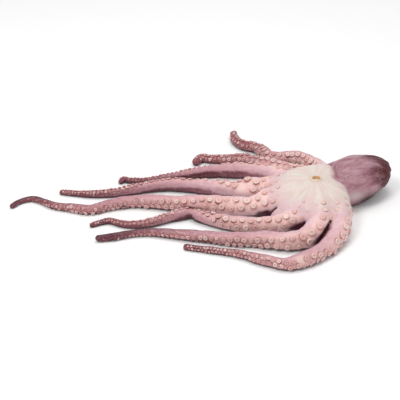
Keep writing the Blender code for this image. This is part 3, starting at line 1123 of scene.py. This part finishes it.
def ripple(points, waves, seed):
    """Sum of sines along three drawn directions for each wavelength and height, as a smooth unevenness."""
    rng = np.random.default_rng(seed)
    total = np.zeros(len(points))
    for length, height in waves:
        for _ in range(3):
            way = unit(rng.normal(size=3))
            total += height / 3 * np.sin(points @ way * math.tau / length + rng.uniform(0, math.tau))
    return total


def near(points, spots):
    """Sum of a bell of the distance about each spot, as wide as its radius."""
    return sum(bell(np.linalg.norm(points - np.array(spot[:3]), axis=1), spot[3]) for spot in spots)


def along_mantle(points):
    """Distances along the mantle's axis from its centre, and level across it."""
    c, s = math.cos(math.radians(MANTLE_TURN)), math.sin(math.radians(MANTLE_TURN))
    dx, dy = points[:, 0] - MANTLE_CENTRE[0], points[:, 1] - MANTLE_CENTRE[1]
    return c * dx + s * dy, c * dy - s * dx


def smooth_skin(grid):
    """Field's zero surface, evened out, laid back on the field and evened again, with its normals."""
    verts, faces = knit(grid)
    verts = relax(verts, faces, rounds=2, amount=0.5)
    verts = verts - grid.slope(verts) * np.clip(grid.read(verts), -1.2, 1.2)[:, None]
    verts = relax(verts, faces, rounds=1, amount=0.4)
    verts[:, 2] = np.maximum(verts[:, 2], 0.0)
    return verts, faces, outward(verts, faces)


def arm_relief(verts, s, turn, reach, mound):
    """Height of the arms' relief: uneven everywhere, a mound under each sucker, and bars across the back.

    The bars are a wavy sine of the distance along the arm, longer where it is
    thicker. Returns the bars apart, because they lie on the arms alone.
    """
    size = np.interp(reach, (3.0, 22.0), (0.2, 1.0))
    lift = size * ripple(verts, SKIN_WAVES, seed=3)
    lift += MOUND_HEIGHT * mound * smooth(*MOUNDS_IN, round_mouth(verts)[0])
    bars = np.sin(math.tau * s / (5.0 + 0.35 * reach) + 1.4 * np.sin(s / 17.0) + 1.1 * np.cos(turn))
    return lift, BAR_HEIGHT * reach * bars * smooth(0.5, -0.6, np.cos(turn))


def mouth_pleats(verts):
    """Height of the pleats that run out from the mouth: two cosines of the bearing."""
    away, bearing = round_mouth(verts)
    wide, fine = PLEATS
    pleats = np.cos(wide * bearing + 1.3 * np.sin(3 * bearing)) + 0.6 * np.cos(fine * bearing)
    ring = smooth(*PLEATS_IN, away) * (1.0 - smooth(*PLEATS_OUT, away))
    return PLEAT_HEIGHT * pleats * ring * (verts[:, 2] > 40.0)


def mantle_ridges(verts):
    """Height of the ridges along the mantle: two sines of the angle about its axis, shifted along it."""
    along, across = along_mantle(verts)
    about = np.arctan2(verts[:, 2] - MANTLE_CENTRE[2], across)
    wide, fine = RIDGES
    ridges = np.sin(wide * about + along / 26.0 + 1.2 * np.sin(along / 31.0))
    ridges += 0.6 * np.sin(fine * about - along / 19.0)
    return RIDGE_HEIGHT * ridges * smooth(-70.0, -20.0, along)


def pale_crown(verts):
    """Share of the crown's ivory: all at the mouth, none far out, and further out towards +X."""
    away, bearing = round_mouth(verts)
    share, middle, width = IVORY_STRETCH
    return 1.0 - smooth(*IVORY_OUT, away * (1.0 - share * bell(np.degrees(bearing) - middle, width)))


def body_piece(arms, grid, suckers, material):
    """Skin of the whole animal: the smooth skin moved along its normals by the height of its relief.

    It is marked with what its finish needs: how far along its arm and how near the
    sucker side a point lies, how much of crown or mantle it is, and how much painted shade (in folds and
    shut-in places) and painted highlight it gets.
    """
    verts, faces, normal = smooth_skin(grid)
    number, s, far, turn, reach = nearest_arm(arms, verts)
    seats = np.vstack([row["seat"] for row in suckers.values()])
    sizes = np.concatenate([row["size"] for row in suckers.values()])
    rust_and_shade, mound = near_seats(verts, seats, sizes)
    behind = smooth(0.4, 2.6, crown_field(verts))
    mantle = behind * (1.0 - smooth(1.5, 5.0, mantle_field(verts)))
    head = behind * (1.0 - smooth(2.0, 8.0, head_field(verts)))
    arm_only = (1.0 - mantle) * (1.0 - head) * smooth(*ARM_SKIN_IN, round_mouth(verts)[0])

    lift, bars = arm_relief(verts, s, turn, reach, mound)
    lift += bars * arm_only + mouth_pleats(verts) + mantle_ridges(verts) * mantle
    lift *= smooth(0.0, 5.0, verts[:, 2])
    verts = verts + normal * lift[:, None]
    verts[:, 2] = np.maximum(verts[:, 2], 0.0)

    away, bearing = round_mouth(verts)
    share = s / far
    pale_reach = np.array([PALE_REACH.get(name, 1.0) for name in arms])[number]
    shown = share * (pale_reach + (1.0 - pale_reach) * smooth(0.5, 0.9, share))
    tip_shade = np.array([TIP_SHADE.get(name, 0.0) for name in arms])[number] * smooth(0.82, 0.95, share)
    sac_end = along_mantle(verts)[0] / MANTLE_HALF[0]
    # Painted shade: the mantle's lower side, near the floor, darkens towards black.
    sac_low = 0.95 * (1.0 - smooth(12.0, 38.0, verts[:, 2])) * smooth(-0.5, -0.1, sac_end)
    # Painted highlight: a pale patch on the mantle's near side.
    film = bell(verts[:, 0] - PAINTED_GLOSS_X[0], PAINTED_GLOSS_X[1]) * bell(verts[:, 2] - PAINTED_GLOSS_Z[0], PAINTED_GLOSS_Z[1])
    piece = new_mesh("octopus_body", verts, faces)
    mark(
        piece,
        sac_end=sac_end, sac_low=sac_low, tip_shade=tip_shade, share=shown * (1 - mantle) * (1 - head),
        oral=np.cos(turn) * arm_only + (1 - arm_only), crown=pale_crown(verts) * (1 - mantle),
        # crease: painted shade from how shut in the skin is, darker still in the shaded folds.
        mantle=np.maximum(mantle, head), crease=shade_from_enclosure(grid, verts, normal) + 0.6 * near(verts, SHADED_FOLDS),
        pale=near(verts, PALE_SPOTS), sucker=rust_and_shade * (1 - mantle),
        film=film * mantle * (verts[:, 1] < PAINTED_GLOSS_BACK),
        ray_x=np.cos(bearing), ray_y=np.sin(bearing), away=away / 100.0,
    )
    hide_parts("octopus")
    belongs(piece, material)


def sucker_piece(name, row, grid, rng, material):
    """Suckers of one arm: each a cup turned about its own axis.

    The cup is a profile of rings, from foot to hole, scaled by the sucker's size,
    made slightly oval and wavy, leant along its aim and set on its seat. It stands
    lower near the mouth.
    """
    count, seat, aim, size = len(row["size"]), row["seat"], row["aim"], row["size"]
    around = np.arange(CUP_SIDES) * math.tau / CUP_SIDES
    first = unit(np.cross(aim, rng.normal(size=(count, 3))))
    second = np.cross(aim, first)
    oval = rng.uniform(0.92, 1.08, (count, 1, 1))
    deep = rng.uniform(0.6, 1.5, count)
    phase = rng.uniform(0, math.tau, (count, 1, 1))
    rise = 0.2 + 0.8 * smooth(*CUPS_IN, row["s"])
    radius, height, way = np.array(CUP).T
    radius = size[:, None, None] * radius[:, None] * (1.0 + 0.05 * np.sin(3 * around + phase))
    height = size[:, None] * np.where(height > 0, height * rise[:, None], height)
    rings = carried(
        seat[:, None, None], first[:, None, None], second[:, None, None], aim[:, None, None],
        radius * np.cos(around) * oval, radius * np.sin(around) / oval,
        np.broadcast_to(height[..., None], radius.shape),
    )
    foot = seat - aim * (size * CUP_FOOT)[:, None]
    hole = seat + aim * (size * CUP_HOLE * deep * rise)[:, None]
    verts = np.concatenate([rings.reshape(count, -1, 3), foot[:, None], hole[:, None]], 1)
    each = verts.shape[1]
    verts = verts.reshape(-1, 3)
    verts[:, 2] = np.maximum(verts[:, 2], 0.0)
    faces = ring_faces(len(CUP), CUP_SIDES)[None] + (np.arange(count) * each)[:, None, None]
    piece = new_mesh(name, verts, faces.reshape(-1, 3))
    mark(
        piece,
        ring=np.tile([*np.repeat(way, CUP_SIDES), 0.0, 1.0], count),
        tone=np.repeat(row["tone"], each), share=np.repeat(row["share"], each),
        # Painted shade of each sucker, from how shut in its seat is.
        crease=np.repeat(shade_from_enclosure(grid, seat + aim * (0.6 * size)[:, None], aim), each),
        crown=np.repeat(1.0 - smooth(*CUP_IVORY_OUT, row["s"]), each),
    )
    belongs(piece, material)


def mouth_pieces(top):
    """Pleated lips and a two-edged beak, below the crown's height there, top, in the mouth's pit."""
    verts, faces, share = turned((*MOUTH, top - LIPS_DEPTH), (0, 0, 1), LIPS, 44, pleat=0.06, folds=11)
    lips = new_mesh("mouth_lips", verts, faces)
    mark(lips, ring=share)
    belongs(lips, lip_finish())
    verts, faces, _ = turned((*MOUTH, top - BEAK_DEPTH), (0.1, 0, 1), BEAK, 20, pleat=0.12, folds=2)
    belongs(new_mesh("mouth_beak", verts, faces), beak_finish())


def eye_piece():
    """Eyeball that looks out of its lid to +Y and up, with an oval slit level across it.

    slit is highest, 1.2, at the middle of the slit and falls with the sum of the
    squares of the places along and across it over its half lengths.
    """
    aim = unit(np.array([-0.30, 0.86, 0.42]))
    centre = np.array(EYE_CENTRE) + aim * EYEBALL_OUT
    polar = np.linspace(2.6, 0.10, 14)
    ball = EYEBALL_RADIUS * np.stack([np.sin(polar), np.cos(polar)], 1)
    verts, faces, _ = turned(centre, aim, ball, 28)
    level = unit(np.cross(aim, (0, 0, 1.0)))
    upright = np.cross(level, aim)
    local = verts - centre
    slit = (local @ level / PUPIL_HALF[0]) ** 2 + (local @ upright / PUPIL_HALF[1]) ** 2
    eye = new_mesh("eye_ball", verts, faces)
    mark(eye, slit=np.where(local @ aim > 0, 1.2 - np.clip(slit, 0, 1.2), 0.0))
    belongs(eye, eye_finish())


# ---------------------------------------------------------------- floor, light and camera

def pale_floor():
    """Large square just below the octopus."""
    wide, low = 6000.0, -0.4
    corners = [(-wide, -wide, low), (wide, -wide, low), (wide, wide, low), (-wide, wide, low)]
    floor = new_mesh("pale_floor", corners, [(0, 1, 2, 3)])
    floor.data.materials.append(floor_finish())


def soft_light(name, spot, size, watts):
    """Square lamp at spot, in metres, that faces the origin."""
    lamp = bpy.data.lights.new(name, "AREA")
    lamp.shape = "SQUARE"
    lamp.size = size
    lamp.energy = watts
    piece = bpy.data.objects.new(name, lamp)
    piece.location = spot
    piece.rotation_euler = (-Vector(spot)).to_track_quat("-Z", "Y").to_euler()
    bpy.context.collection.objects.link(piece)


def white_studio(strength):
    """Even white light from all round."""
    world = bpy.data.worlds.new("studio")
    world.use_nodes = True
    background = world.node_tree.nodes["Background"]
    background.inputs["Color"].default_value = (1.0, 1.0, 1.0, 1.0)
    background.inputs["Strength"].default_value = strength
    bpy.context.scene.world = world
    bpy.context.scene.view_settings.view_transform = "Standard"


def add_camera(spot, tilt, focal):
    """Camera at spot, in metres, that looks along +Y, tilt degrees up from straight down."""
    lens = bpy.data.cameras.new("camera")
    lens.lens = focal
    lens.sensor_width = 36.0
    camera = bpy.data.objects.new("camera", lens)
    camera.location = spot
    camera.rotation_euler = (math.radians(tilt), 0.0, 0.0)
    bpy.context.collection.objects.link(camera)
    bpy.context.scene.camera = camera


# ---------------------------------------------------------------- the octopus

rng = np.random.default_rng(21)
arms = make_arms()
grid = make_body_grid(arms)
mouth_top = open_mouth(grid)
suckers = {name: seat_suckers(arm, grid, rng) for name, arm in arms.items()}
body_piece(arms, grid, suckers, skin_finish())
flesh = sucker_finish()
for name, row in suckers.items():
    sucker_piece("suckers_" + name, row, grid, rng, flesh)
mouth_pieces(mouth_top)
eye_piece()

pale_floor()
soft_light("key_light", (-0.9, -0.9, 1.9), size=0.7, watts=15.5)
soft_light("top_light", (0.3, 0.4, 2.2), size=0.9, watts=11.0)
white_studio(strength=0.70)
add_camera((-0.003, -1.628, 0.930), tilt=60.0, focal=92.6)
